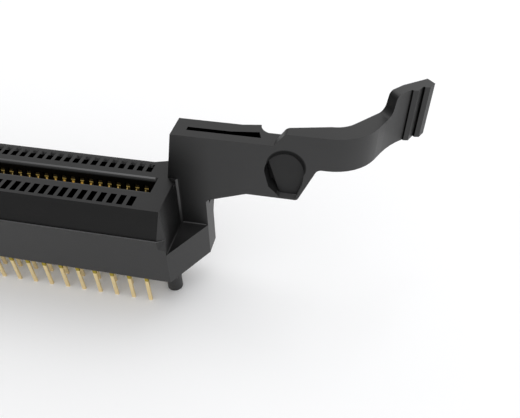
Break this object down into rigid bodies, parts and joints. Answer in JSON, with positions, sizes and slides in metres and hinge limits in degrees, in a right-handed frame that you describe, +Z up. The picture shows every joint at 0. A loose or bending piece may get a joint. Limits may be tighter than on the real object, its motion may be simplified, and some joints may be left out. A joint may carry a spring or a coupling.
{
  "type": "card edge connector",
  "caption": "Vertical through-hole card edge connector with a keyed slot, two rows of gilt spring contacts and a sprung latch arm with a ribbed finger pad.",
  "frame": {"origin": "middle of the card key in plan, in the plane where the standoffs sit on the board", "axes": "+X along the slot towards the latch end, +Y towards the side that the latch lever sweeps to, +Z up out of the slot"},
  "size_m": [0.1127, 0.0142, 0.0228],
  "materials": {
    "housing": "satin black moulding",
    "contacts": "gilt phosphor bronze"
  },
  "bodies": {
    "root": {"contacts_back_inner_lane_1": "contacts", "contacts_back_inner_lanes_16": "contacts", "contacts_back_inner_lanes_4": "contacts", "contacts_back_inner_lanes_8": "contacts", "contacts_back_inner_power": "contacts", "contacts_back_outer_lane_1": "contacts", "contacts_back_outer_lanes_16": "contacts", "contacts_back_outer_lanes_4": "contacts", "contacts_back_outer_lanes_8": "contacts", "contacts_back_outer_power": "contacts", "contacts_front_inner_lane_1": "contacts", "contacts_front_inner_lanes_16": "contacts", "contacts_front_inner_lanes_4": "contacts", "contacts_front_inner_lanes_8": "contacts", "contacts_front_inner_power": "contacts", "contacts_front_outer_lane_1": "contacts", "contacts_front_outer_lanes_16": "contacts", "contacts_front_outer_lanes_4": "contacts", "contacts_front_outer_lanes_8": "contacts", "contacts_front_outer_power": "contacts", "housing": "housing"}
  },
  "joints": []
}
